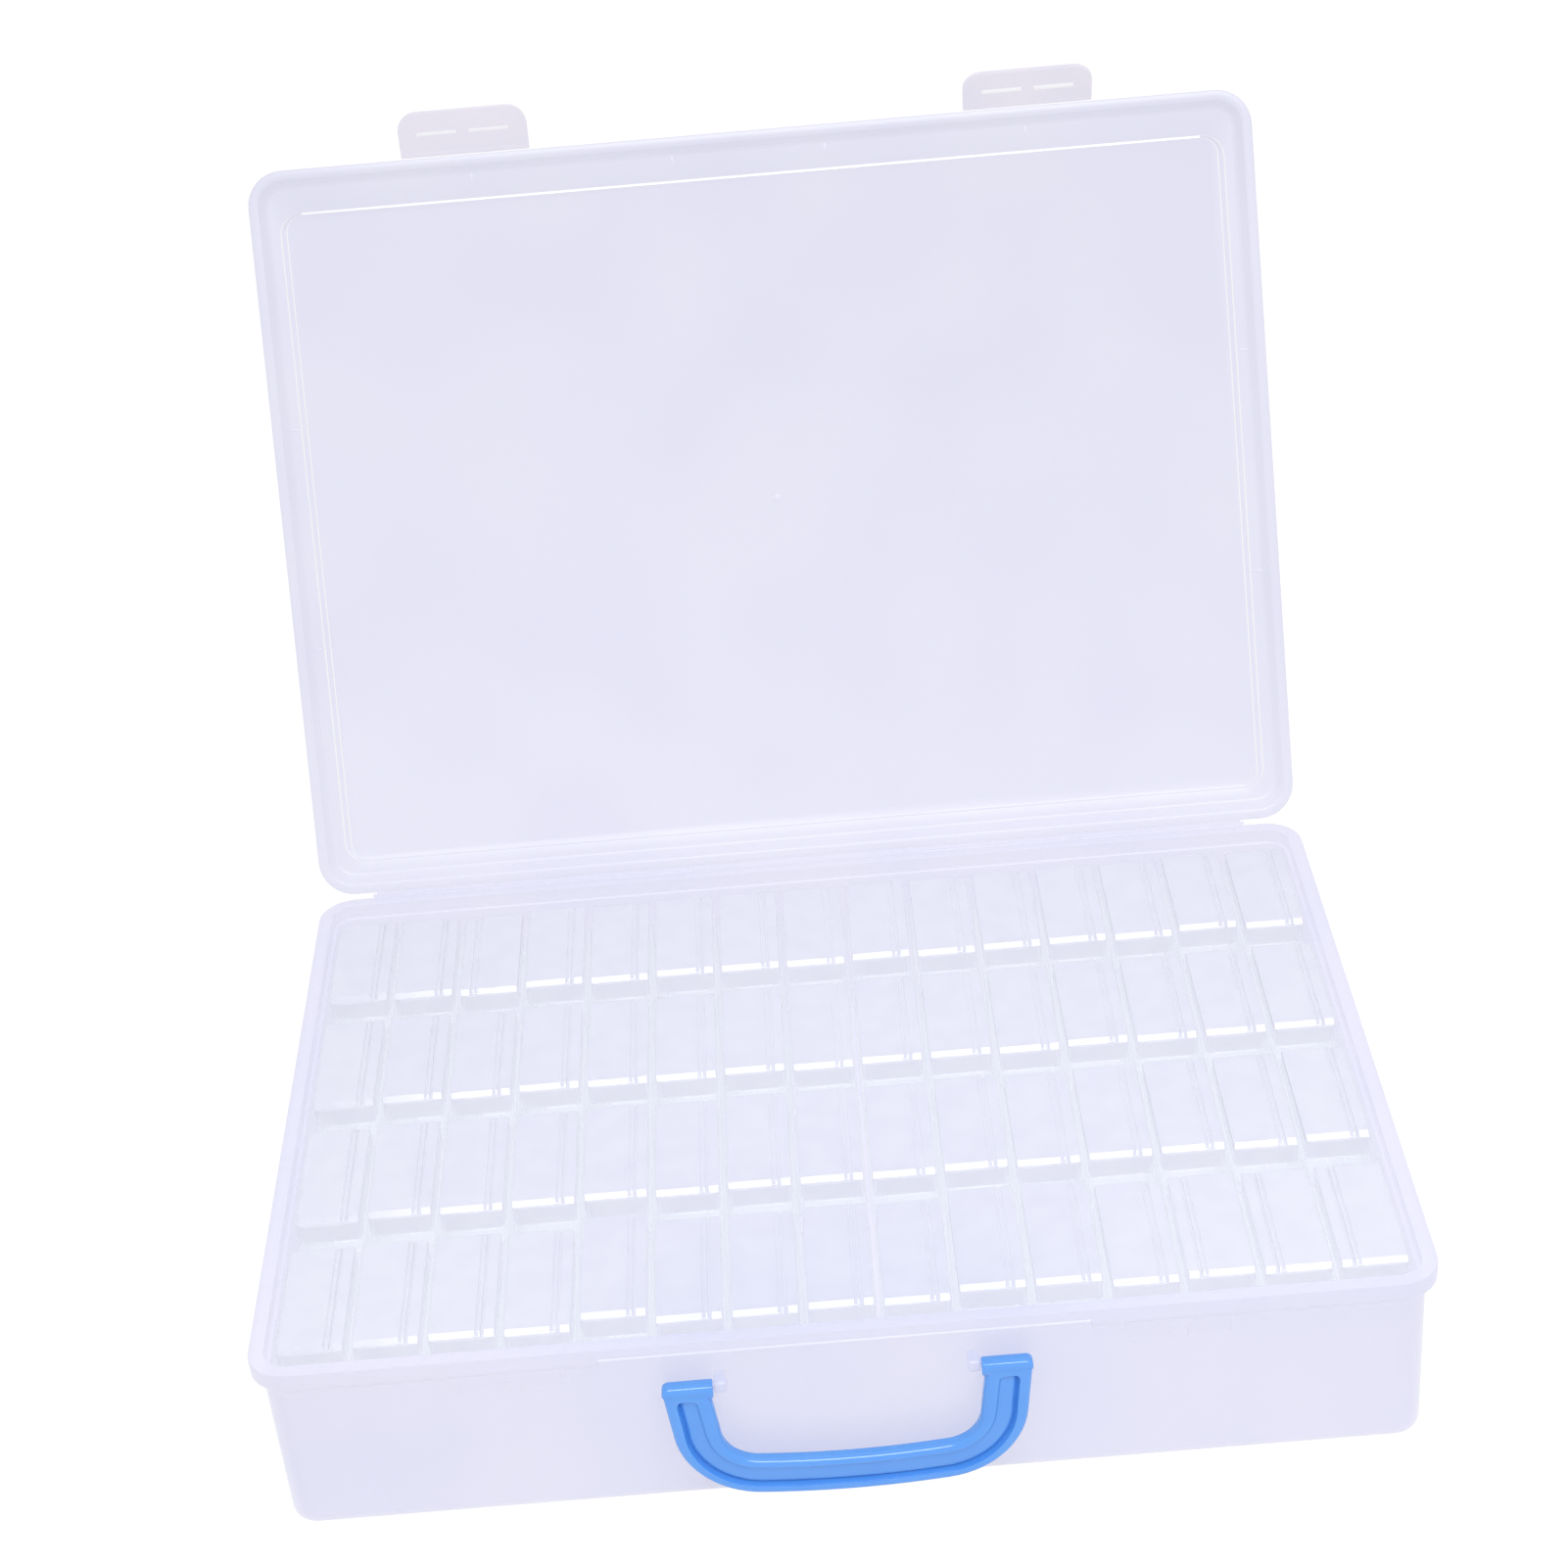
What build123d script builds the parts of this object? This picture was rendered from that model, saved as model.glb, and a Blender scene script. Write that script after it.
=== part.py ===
"""Bead storage box: a clear case with a leaning lid, a blue handle and sixty flip-top bottles.

Millimetres, +Z up, the origin at the centre of the case's underside, the front wall towards -Y.
Everything stands as it rests in use with the lid open.
"""

import math
import os

from build123d import *

# Driving size of the case
RIM_WIDTH = 340.0
RIM_DEPTH = 249.0
RIM_HEIGHT = 62.0
RIM_CORNER = 12.0

# Case section
WALL = 2.0
FLOOR = 2.0
FLANGE_OVERHANG = 3.3
FLANGE_LIP = 5.8
FLARE = 3.2
WALL_DRAFT = 0.8
BOTTOM_BEVEL = 3.4
INSIDE_CORNER = 3.5
INSIDE_INSET = 5.8
RIM_STEP_DEEP = 4.6
RIM_STEP_IN = 1.2
RIM_EDGE_BEVEL = 0.6
FRONT_LIP_HALF = 70.0
FRONT_LIP_TALL = 4.0

# Latch seats under the front flange
LATCH_X = 95.0
SEAT_WIDTH = 30.3
SEAT_BOTTOM = 47.7
SEAT_PROUD = 1.7
SEAT_NOTCH = 4.5
SEAT_NOTCH_TALL = 4.3
SEAT_RECESS = 37.0

# Handle and its lugs
PIVOT_Y = -126.0
PIVOT_Z = 47.4
BOSS_R = 3.15
BOSS_INNER_X = 38.2
BOSS_OUTER_X = 52.8
PIN_R = 1.5
PIN_LONG = 8.0
PIN_PLAY = 0.06
LUG_INNER_X = 34.4
LUG_OUTER_X = 37.8
LUG_R = 2.9
BOW_WIDTH = 14.3
BOW_THICK = 4.6
BOW_FRONT_Y = -129.1
BOW_BEND_R = 12.8
BOW_BAR_Z = 12.9
BOW_TOP_X = 45.7
BOW_LOW_X = 43.6
BOW_EDGE_BEVEL = 1.1
CHANNEL_WIDTH = 6.0
CHANNEL_DEEP = 1.5
CHANNEL_TOP_Z = 38.0

# Lid, leaning back from its hinge line
LEAN_BACK = 22.35
HINGE_GAP = 0.9
REST_GAP = 0.15
LIP_THICK = 2.0
LID_DEEP = 8.0
LID_TOP_THICK = 1.6
LID_SIDE_INSET = 1.9
LID_SIDE_DRAFT = 1.5
LID_OPEN_INSET = 3.3
LID_OPEN_DRAFT = 1.7
LID_OPEN_CORNER = 8.7
LID_CROWN_BEVEL = 1.8
PANEL_SIDE_MARGIN = 10.2
PANEL_END_MARGIN = 12.7
PANEL_SLOPE = 2.2
PANEL_STEP = 1.0
PANEL_CORNER = 7.0
GATE_R = 1.6
GATE_TALL = 0.5
TICK_LONG = 3.6
TICK_WIDE = 0.9
TICK_TALL = 0.4
TICK_EDGE_INSET = 7.8
TICK_SIDE_INSET = 6.6
TICK_TOP_XS = (-94.3, -26.0, 26.0, 94.3)
TICK_SIDE_UPS = (86.5, 162.5)

# Hinge webs along the back edge
WEB_BEAD_R = 0.6
WEB_INNER_X = 40.0
WEB_OUTER_X = 152.0
WEB_DROP = 1.6

# Latch tabs
TAB_WIDTH = 43.5
TAB_LONG = 17.6
TAB_THICK = 1.8
TAB_INNER = 0.5
TAB_CORNER = 6.0
TAB_START = 1.0
TAB_BEAD_R = 0.6
TAB_BEAD_SIDES = 8
TAB_WEB_HALF = 0.4
TAB_FOLD_LEFT = 23.0
TAB_FOLD_RIGHT = 47.0
TAB_AXIS_SINK = 0.65
HOOK_START = 7.0
HOOK_END = 8.6
HOOK_FLAT = 0.5
HOOK_TALL = 1.4
HOOK_LONG = 13.5
HOOK_MID_GAP = 4.0

# Bottles: fifteen columns, four rows, row 1 at the back
COLUMNS = 15
ROWS = 4
PITCH_X = 21.77
PITCH_Y = 58.46
FRONT_ROW_Y = -90.4
STANDS_AT = FLOOR + 0.3
BODY_WIDTH = 20.4
BODY_DEPTH = 53.4
BODY_WALL = 1.2
SHOULDER_THICK = 1.6
NECK_Z = 52.4
NECK_WIDTH = 16.6
NECK_DEPTH = 43.7
NECK_WALL = 1.1
CAP_WIDTH = 19.2
CAP_DEPTH = 46.3
CAP_SKIRT_Z = 53.8
CAP_FIT = 0.1
CAP_TOP_Z = 62.0
DECK_TOP_Z = 60.1
DECK_THICK = 1.2
EDGE_BEVEL = 1.2
STRIP_X = 6.2
POUR_WIDTH = 10.0
POUR_DEPTH = 34.0
POUR_X = -2.4
FLAP_GAP = 0.3
FLAP_RIGHT_X = 4.1
FLAP_AXIS_X = 5.0
FLAP_AXIS_Z = 61.2
FLAP_RIB = 0.5
SETTLE = 0.5
SETTLE_BY_COLUMN = 2.4
SETTLE_BY_ROW = 5.1

# How far some bottles stand behind their row, and which ones are turned half round
PUSHED_BACK = {(4, 5): 3.6, (4, 10): 2.6, (4, 11): 2.6, (1, 14): 1.2, (1, 3): -1.2}
TURNED = {(1, 3), (4, 13), (4, 14), (4, 15)}

HALF_X = RIM_WIDTH / 2
HALF_Y = RIM_DEPTH / 2
FLARE_BASE_Z = RIM_HEIGHT - FLANGE_LIP - FLARE
FLANGE_Z = RIM_HEIGHT - FLANGE_LIP
WALL_TOP_Y = HALF_Y - FLANGE_OVERHANG
HINGE_Y = HALF_Y + HINGE_GAP
HINGE_Z = RIM_HEIGHT + REST_GAP


def inset_size(inset):
    """Width and depth of the rim outline brought in by inset on every side."""
    return RIM_WIDTH - 2 * inset, RIM_DEPTH - 2 * inset


# Case base
foot_inset = FLANGE_OVERHANG + WALL_DRAFT
outer_taper = -math.degrees(math.atan(WALL_DRAFT / FLARE_BASE_Z))
step_z = RIM_HEIGHT - RIM_STEP_DEEP
step_inset = INSIDE_INSET - RIM_STEP_IN
flare_taper = -math.degrees(math.atan(FLANGE_OVERHANG / FLARE))
front_lip_z = RIM_HEIGHT - FRONT_LIP_TALL
lug_root = -PIVOT_Y - WALL_TOP_Y + WALL / 2

with BuildPart() as case_base:
    # Drafted outer wall with a bevelled bottom edge
    with BuildSketch():
        RectangleRounded(*inset_size(foot_inset), RIM_CORNER - foot_inset)
    extrude(amount=FLARE_BASE_Z, taper=outer_taper)
    chamfer(case_base.edges().group_by(Axis.Z)[0], BOTTOM_BEVEL)
    # The flare carries the wall out to the rim flange
    with BuildSketch(Plane.XY.offset(FLARE_BASE_Z)):
        RectangleRounded(*inset_size(FLANGE_OVERHANG), RIM_CORNER - FLANGE_OVERHANG)
    extrude(amount=FLARE, taper=flare_taper)
    with BuildSketch(Plane.XY.offset(FLANGE_Z)):
        RectangleRounded(RIM_WIDTH, RIM_DEPTH, RIM_CORNER)
    extrude(amount=FLANGE_LIP)
    chamfer(case_base.edges().group_by(Axis.Z)[-1], RIM_EDGE_BEVEL)
    # Latch seats: the flare gives way to a flat, notched seat below the flange
    with BuildSketch(Plane.XY.offset(FLARE_BASE_Z)):
        with Locations((-LATCH_X, -HALF_Y), (LATCH_X, -HALF_Y)):
            Rectangle(SEAT_RECESS, 2 * (FLANGE_OVERHANG - SEAT_PROUD))
    extrude(amount=FLARE, mode=Mode.SUBTRACT)
    with BuildSketch(Plane.XY.offset(SEAT_BOTTOM)):
        with Locations((-LATCH_X, -WALL_TOP_Y), (LATCH_X, -WALL_TOP_Y)):
            Rectangle(SEAT_WIDTH, 2 * SEAT_PROUD)
    extrude(amount=FLANGE_Z - SEAT_BOTTOM)
    with BuildSketch(Plane.XY.offset(SEAT_BOTTOM)):
        with Locations((-LATCH_X, -WALL_TOP_Y - SEAT_PROUD / 2), (LATCH_X, -WALL_TOP_Y - SEAT_PROUD / 2)):
            Rectangle(SEAT_NOTCH, SEAT_PROUD)
    extrude(amount=SEAT_NOTCH_TALL, mode=Mode.SUBTRACT)
    # Between the latches the front lip is shorter and ends in a crisp line
    with BuildSketch(Plane.XY.offset(FLARE_BASE_Z)):
        with Locations((0, -HALF_Y)):
            Rectangle(2 * FRONT_LIP_HALF, 2 * FLANGE_OVERHANG)
    extrude(amount=front_lip_z - FLARE_BASE_Z, mode=Mode.SUBTRACT)
    # Inside: the cavity, and the step below the rim
    with BuildSketch(Plane.XY.offset(FLOOR)):
        RectangleRounded(*inset_size(INSIDE_INSET), INSIDE_CORNER)
    extrude(amount=step_z - FLOOR, mode=Mode.SUBTRACT)
    with BuildSketch(Plane.XY.offset(step_z)):
        RectangleRounded(*inset_size(step_inset), RIM_CORNER - step_inset)
    extrude(amount=RIM_STEP_DEEP, mode=Mode.SUBTRACT)
    # Handle lugs, each rooted in the wall and carrying one pin
    for side in (-1, 1):
        lug_plane = Plane((side * LUG_INNER_X, PIVOT_Y, PIVOT_Z), x_dir=(0, 1, 0), z_dir=(side, 0, 0))
        with BuildSketch(lug_plane):
            Circle(LUG_R)
            with Locations((lug_root / 2, 0)):
                Rectangle(lug_root, 2 * LUG_R)
        extrude(amount=LUG_OUTER_X - LUG_INNER_X)
        with BuildSketch(lug_plane):
            Circle(PIN_R)
        extrude(amount=LUG_OUTER_X - LUG_INNER_X + PIN_LONG)


def hinge_strip(start_x):
    """A web along the back flange: a ledge that ends in a round bead on the lid's axis."""
    bead_side = WEB_BEAD_R * math.cos(math.radians(30))
    profile = Plane((start_x, HINGE_Y, HINGE_Z), x_dir=(0, 1, 0), z_dir=(1, 0, 0))
    with BuildPart() as strip:
        with BuildSketch(profile):
            Circle(WEB_BEAD_R)
            with BuildLine():
                Polyline(
                    (-HINGE_GAP, -REST_GAP - RIM_EDGE_BEVEL),
                    (-HINGE_GAP, -REST_GAP - RIM_EDGE_BEVEL - WEB_DROP),
                    (bead_side, -WEB_BEAD_R / 2),
                    (-bead_side, -WEB_BEAD_R / 2),
                    close=True,
                )
            make_face()
        extrude(amount=WEB_OUTER_X - WEB_INNER_X)
    return strip.part


# Lid: local Y runs up the lid from the hinge line, local Z goes out through its back
lean = math.radians(LEAN_BACK)
lid_plane = Plane(
    (0, HINGE_Y, HINGE_Z),
    x_dir=(-1, 0, 0),
    z_dir=(0, math.cos(lean), -math.sin(lean)),
)
lid_middle = HINGE_GAP + HALF_Y
side_taper = math.degrees(math.atan(LID_SIDE_DRAFT / (LID_DEEP - LIP_THICK)))
cavity_deep = LID_DEEP - LID_TOP_THICK
cavity_taper = math.degrees(math.atan(LID_OPEN_DRAFT / cavity_deep))
panel_taper = math.degrees(math.atan(PANEL_SLOPE / PANEL_STEP))
panel_width = RIM_WIDTH - 2 * PANEL_SIDE_MARGIN
panel_length = RIM_DEPTH - 2 * PANEL_END_MARGIN
tick_up = lid_middle + HALF_Y - TICK_EDGE_INSET


def at_depth(depth):
    """A plane this far behind the lid's mating face."""
    return lid_plane.offset(REST_GAP + depth)


with BuildPart() as lid:
    # Crown with drafted sides and a round outer edge
    with BuildSketch(at_depth(LIP_THICK)):
        with Locations((0, lid_middle)):
            RectangleRounded(*inset_size(LID_SIDE_INSET), RIM_CORNER - LID_SIDE_INSET)
    extrude(amount=LID_DEEP - LIP_THICK, taper=side_taper)
    chamfer(lid.faces().sort_by(Axis(lid_plane.origin, lid_plane.z_dir))[-1].edges(), LID_CROWN_BEVEL)
    # Flat lip, the same outline as the case rim
    with BuildSketch(at_depth(0)):
        with Locations((0, lid_middle)):
            RectangleRounded(RIM_WIDTH, RIM_DEPTH, RIM_CORNER)
    extrude(amount=LIP_THICK)
    chamfer(lid.faces().sort_by(Axis(lid_plane.origin, lid_plane.z_dir))[0].edges(), RIM_EDGE_BEVEL)
    # The panel stands out of the crown by a sloped step
    with BuildSketch(at_depth(LID_DEEP)):
        with Locations((0, lid_middle)):
            RectangleRounded(panel_width, panel_length, PANEL_CORNER)
    extrude(amount=PANEL_STEP, taper=panel_taper)
    # Hollow inside, then the panel's own shallow well
    with BuildSketch(at_depth(0)):
        with Locations((0, lid_middle)):
            RectangleRounded(*inset_size(LID_OPEN_INSET), LID_OPEN_CORNER)
    extrude(amount=cavity_deep, taper=cavity_taper, mode=Mode.SUBTRACT)
    with BuildSketch(at_depth(cavity_deep)):
        with Locations((0, lid_middle)):
            RectangleRounded(panel_width, panel_length, PANEL_CORNER)
    extrude(amount=PANEL_STEP, taper=panel_taper, mode=Mode.SUBTRACT)
    # Moulding gate in the middle, and short tick marks on the border
    with BuildSketch(at_depth(cavity_deep + PANEL_STEP)):
        with Locations((0, lid_middle)):
            Circle(GATE_R)
    extrude(amount=-GATE_TALL)
    with BuildSketch(at_depth(cavity_deep)):
        with Locations(*[(x, tick_up) for x in TICK_TOP_XS]):
            Rectangle(TICK_WIDE, TICK_LONG)
        with Locations(*[(s * (HALF_X - TICK_SIDE_INSET), up) for s in (-1, 1) for up in TICK_SIDE_UPS]):
            Rectangle(TICK_LONG, TICK_WIDE)
    extrude(amount=-TICK_TALL)


def latch_tab(side, fold):
    """A latch tab folded inward from the lid by this many degrees, with its bead on the fold line."""
    up = math.radians(90 - LEAN_BACK)
    turned = math.radians(90 - LEAN_BACK + fold)
    reach = 2 * HINGE_GAP + RIM_DEPTH
    fold_y = HINGE_Y + reach * math.cos(up) + TAB_AXIS_SINK * math.sin(up)
    fold_z = HINGE_Z + reach * math.sin(up) - TAB_AXIS_SINK * math.cos(up)
    along = (0, math.cos(turned), math.sin(turned))
    inward = (0, -math.sin(turned), math.cos(turned))
    face = Plane((side * LATCH_X, fold_y, fold_z), x_dir=(1, 0, 0), z_dir=inward)
    with BuildPart() as tab:
        with BuildSketch(face.offset(TAB_INNER)) as outline:
            with Locations((0, (TAB_START + TAB_LONG) / 2)):
                Rectangle(TAB_WIDTH, TAB_LONG - TAB_START)
            fillet(outline.vertices().group_by(Axis.Y)[-1], TAB_CORNER)
        extrude(amount=-TAB_THICK)
        fold_end = (side * LATCH_X - TAB_WIDTH / 2, fold_y, fold_z)
        with BuildSketch(Plane(fold_end, x_dir=along, z_dir=(1, 0, 0))):
            RegularPolygon(TAB_BEAD_R, TAB_BEAD_SIDES)
            with Locations((TAB_START / 2, 0)):
                Rectangle(TAB_START, 2 * TAB_WEB_HALF)
        extrude(amount=TAB_WIDTH)
        for start in (-HOOK_MID_GAP / 2 - HOOK_LONG, HOOK_MID_GAP / 2):
            with BuildSketch(Plane((side * LATCH_X + start, fold_y, fold_z), x_dir=along, z_dir=(1, 0, 0))):
                with BuildLine():
                    Polyline(
                        (HOOK_START, TAB_INNER),
                        (HOOK_START, TAB_INNER + HOOK_TALL),
                        (HOOK_START + HOOK_FLAT, TAB_INNER + HOOK_TALL),
                        (HOOK_END, TAB_INNER),
                        close=True,
                    )
                make_face()
            extrude(amount=HOOK_LONG)
    return tab.part


# Carry handle: a flat bow with bevelled edges, a channel along its face, a boss at each end
bow_face = Plane((0, BOW_FRONT_Y, 0), x_dir=(1, 0, 0), z_dir=(0, -1, 0))


def leg_x(z):
    """Half the distance between the middles of the legs, which spread towards the top."""
    return BOW_LOW_X + (BOW_TOP_X - BOW_LOW_X) * (z - BOW_BAR_Z) / (PIVOT_Z - BOW_BAR_Z)


def boss_plane(side):
    """The inner end of one boss, square to the handle's axis."""
    return Plane((side * BOSS_INNER_X, PIVOT_Y, PIVOT_Z), x_dir=(0, 1, 0), z_dir=(side, 0, 0))


def bow_edge(out, top_z):
    """One edge of the band, moved out from its middle line, closed across the top."""
    low_z = BOW_BAR_Z - out
    with BuildSketch() as shape:
        Polygon(
            (-leg_x(top_z) - out, top_z),
            (-leg_x(low_z) - out, low_z),
            (leg_x(low_z) + out, low_z),
            (leg_x(top_z) + out, top_z),
            align=None,
        )
        fillet(shape.vertices().group_by(Axis.Y)[0], BOW_BEND_R + out)
    return shape.sketch


def bow_band(width, top_z):
    """The band between two such edges."""
    return bow_edge(width / 2, top_z) - bow_edge(-width / 2, top_z)


with BuildPart() as carry_handle:
    with BuildSketch(bow_face):
        add(bow_band(BOW_WIDTH, PIVOT_Z))
    extrude(amount=-BOW_THICK)
    below_boss = carry_handle.edges().filter_by(lambda e: e.center().Z < PIVOT_Z - BOW_EDGE_BEVEL)
    chamfer(below_boss.filter_by_position(Axis.Y, BOW_FRONT_Y - 0.1, BOW_FRONT_Y + 0.1), BOW_EDGE_BEVEL)
    below_boss = carry_handle.edges().filter_by(lambda e: e.center().Z < PIVOT_Z - BOW_EDGE_BEVEL)
    back_y = BOW_FRONT_Y + BOW_THICK
    chamfer(below_boss.filter_by_position(Axis.Y, back_y - 0.1, back_y + 0.1), BOW_EDGE_BEVEL)
    for side in (-1, 1):
        with BuildSketch(boss_plane(side)):
            Circle(BOSS_R)
        extrude(amount=BOSS_OUTER_X - BOSS_INNER_X)
    # The channel follows the bow and ends round below each boss
    with BuildSketch(bow_face):
        add(bow_band(CHANNEL_WIDTH, CHANNEL_TOP_Z))
        with Locations((-leg_x(CHANNEL_TOP_Z), CHANNEL_TOP_Z), (leg_x(CHANNEL_TOP_Z), CHANNEL_TOP_Z)):
            Circle(CHANNEL_WIDTH / 2)
    extrude(amount=-CHANNEL_DEEP, mode=Mode.SUBTRACT)
    # Blind bores for the pins
    for side in (-1, 1):
        with BuildSketch(boss_plane(side)):
            Circle(PIN_R + PIN_PLAY)
        extrude(amount=LUG_OUTER_X + PIN_LONG + HINGE_GAP - BOSS_INNER_X, mode=Mode.SUBTRACT)


# One bottle, centred on its own upright axis
body_inside_z = STANDS_AT + BODY_WALL

with BuildPart() as bottle:
    with BuildSketch(Plane.XY.offset(STANDS_AT)):
        Rectangle(BODY_WIDTH, BODY_DEPTH)
    extrude(amount=NECK_Z - STANDS_AT)
    with BuildSketch(Plane.XY.offset(NECK_Z)):
        Rectangle(NECK_WIDTH, NECK_DEPTH)
    extrude(amount=DECK_TOP_Z - DECK_THICK - NECK_Z)
    # Hollow body, and the open neck
    with BuildSketch(Plane.XY.offset(body_inside_z)):
        Rectangle(BODY_WIDTH - 2 * BODY_WALL, BODY_DEPTH - 2 * BODY_WALL)
    extrude(amount=NECK_Z - SHOULDER_THICK - body_inside_z, mode=Mode.SUBTRACT)
    with BuildSketch(Plane.XY.offset(body_inside_z)):
        Rectangle(NECK_WIDTH - 2 * NECK_WALL, NECK_DEPTH - 2 * NECK_WALL)
    extrude(amount=CAP_TOP_Z - body_inside_z, mode=Mode.SUBTRACT)

# Its cap: a skirt, a deck with a pour opening, and the narrow fixed strip
with BuildPart() as cap:
    with BuildSketch(Plane.XY.offset(DECK_TOP_Z)):
        with Locations(((STRIP_X + CAP_WIDTH / 2) / 2, 0)):
            Rectangle(CAP_WIDTH / 2 - STRIP_X, CAP_DEPTH)
    extrude(amount=CAP_TOP_Z - DECK_TOP_Z)
    with BuildSketch(Plane.XY.offset(CAP_SKIRT_Z)):
        Rectangle(CAP_WIDTH, CAP_DEPTH)
    extrude(amount=DECK_TOP_Z - CAP_SKIRT_Z)
    with BuildSketch(Plane.XY.offset(CAP_SKIRT_Z)):
        Rectangle(NECK_WIDTH + 2 * CAP_FIT, NECK_DEPTH + 2 * CAP_FIT)
    extrude(amount=DECK_TOP_Z - DECK_THICK - CAP_SKIRT_Z, mode=Mode.SUBTRACT)
    with BuildSketch(Plane.XY.offset(DECK_TOP_Z)):
        with Locations((POUR_X, 0)):
            Rectangle(POUR_WIDTH, POUR_DEPTH)
    extrude(amount=-DECK_THICK, mode=Mode.SUBTRACT)

# Its flap: a plate, a groove and the rib it turns on
flap_low = DECK_TOP_Z + FLAP_GAP
with BuildPart() as flap:
    with BuildSketch(Plane.XZ):
        with BuildLine():
            Polyline(
                (-CAP_WIDTH / 2, flap_low),
                (FLAP_AXIS_X, flap_low),
                (FLAP_AXIS_X + FLAP_RIB, FLAP_AXIS_Z - FLAP_RIB),
                (FLAP_AXIS_X + FLAP_RIB, FLAP_AXIS_Z + FLAP_RIB),
                (FLAP_AXIS_X, CAP_TOP_Z),
                (FLAP_RIGHT_X + FLAP_RIB / 2, FLAP_AXIS_Z),
                (FLAP_RIGHT_X, CAP_TOP_Z),
                (-CAP_WIDTH / 2, CAP_TOP_Z),
                close=True,
            )
        make_face()
    extrude(amount=CAP_DEPTH / 2, both=True)
    plate_edges = flap.edges().group_by(Axis.Z)[-1].filter_by(Axis.X).filter_by(lambda e: e.center().X < 0)
    chamfer(plate_edges, EDGE_BEVEL)


def stand(column, row):
    """Where a bottle stands: its column, its row, how far back it sits, and which way round."""
    settle = SETTLE * (1 + math.sin(SETTLE_BY_COLUMN * column + SETTLE_BY_ROW * row))
    x = (column - (COLUMNS + 1) / 2) * PITCH_X
    y = FRONT_ROW_Y + (ROWS - row) * PITCH_Y + settle + PUSHED_BACK.get((row, column), 0)
    return Location((x, y, 0), (0, 0, 180 if (row, column) in TURNED else 0))


def copies(piece, column, rows):
    """The same piece at every bottle of one column that is in rows."""
    with BuildPart() as group:
        with Locations(*[stand(column, row) for row in rows]):
            add(piece)
    return group.part


pieces = {
    "case_base": case_base.part,
    "hinge_strip_left": hinge_strip(-WEB_OUTER_X),
    "hinge_strip_right": hinge_strip(WEB_INNER_X),
    "lid": lid.part,
    "latch_tab_left": latch_tab(-1, TAB_FOLD_LEFT),
    "latch_tab_right": latch_tab(1, TAB_FOLD_RIGHT),
    "carry_handle": carry_handle.part,
}
for column in range(1, COLUMNS + 1):
    every_row = range(1, ROWS + 1)
    usual = [row for row in every_row if (row, column) not in TURNED]
    turned = [row for row in every_row if (row, column) in TURNED]
    pieces[f"bottles_column_{column:02d}"] = copies(bottle.part, column, every_row)
    pieces[f"bottle_caps_column_{column:02d}"] = copies(cap.part, column, every_row)
    pieces[f"flip_tops_column_{column:02d}"] = copies(flap.part, column, usual)
    if turned:
        pieces[f"flip_top_reversed_{column:02d}"] = copies(flap.part, column, turned)

os.makedirs("parts", exist_ok=True)
for name, piece in pieces.items():
    piece.label = name
    export_step(piece, f"parts/{name}.step")
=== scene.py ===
# %% [markdown]
# # Bead storage box
# A clear moulded case stands open. Its lid leans back, a blue handle hangs on the front wall, and
# sixty slim flip-top bottles stand inside in four rows of fifteen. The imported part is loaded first,
# as the fixed frame: it says where each piece is and which body it moves with. Everything below is
# in metres, with +Z up and the front wall towards -Y.

import math

import bpy
import numpy as np
from mathutils import Matrix


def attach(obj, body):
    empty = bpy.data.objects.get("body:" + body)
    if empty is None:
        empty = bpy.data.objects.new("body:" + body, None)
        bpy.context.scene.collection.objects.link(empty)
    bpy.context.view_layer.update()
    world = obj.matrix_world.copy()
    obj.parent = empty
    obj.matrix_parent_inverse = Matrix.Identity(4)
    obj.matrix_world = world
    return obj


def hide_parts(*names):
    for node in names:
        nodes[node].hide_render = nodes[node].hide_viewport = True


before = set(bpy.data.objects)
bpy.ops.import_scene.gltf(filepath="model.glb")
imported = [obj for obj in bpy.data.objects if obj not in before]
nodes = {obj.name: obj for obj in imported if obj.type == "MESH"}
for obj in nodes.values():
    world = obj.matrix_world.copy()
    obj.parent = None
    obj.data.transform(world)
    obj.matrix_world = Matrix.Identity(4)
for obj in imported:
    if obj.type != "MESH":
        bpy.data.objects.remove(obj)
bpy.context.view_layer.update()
print(len(nodes), "nodes in the frame")

# %% [markdown]
# ## Camera
# A photographer takes a box like this from above the front edge, from a little under a metre. The
# camera's place and its three angles were worked out from the corners of the rim and the lid. It is
# turned a little about its own axis, so the box seems to climb to the right. No shift is needed.

# %% Camera
CAMERA_AT = (0.00657, -0.82418, 0.65849)
CAMERA_AZIMUTH, CAMERA_PITCH, CAMERA_ROLL = (math.radians(a) for a in (-0.755, 30.759, -5.188))
FOCAL_PIXELS, FRAME_PIXELS, SENSOR = 3287.5, 1601, 36.0

forward = np.array([
    math.sin(CAMERA_AZIMUTH) * math.cos(CAMERA_PITCH),
    math.cos(CAMERA_AZIMUTH) * math.cos(CAMERA_PITCH),
    -math.sin(CAMERA_PITCH),
])
level_right = np.cross(forward, (0, 0, 1))
level_right /= np.linalg.norm(level_right)
level_up = np.cross(level_right, forward)
right = math.cos(CAMERA_ROLL) * level_right + math.sin(CAMERA_ROLL) * level_up
up = math.cos(CAMERA_ROLL) * level_up - math.sin(CAMERA_ROLL) * level_right
camera = bpy.data.objects.new("camera", bpy.data.cameras.new("camera"))
bpy.context.scene.collection.objects.link(camera)
camera.matrix_world = Matrix([
    (right[0], up[0], -forward[0], CAMERA_AT[0]),
    (right[1], up[1], -forward[1], CAMERA_AT[1]),
    (right[2], up[2], -forward[2], CAMERA_AT[2]),
    (0, 0, 0, 1),
])
camera.data.sensor_width = SENSOR
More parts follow.
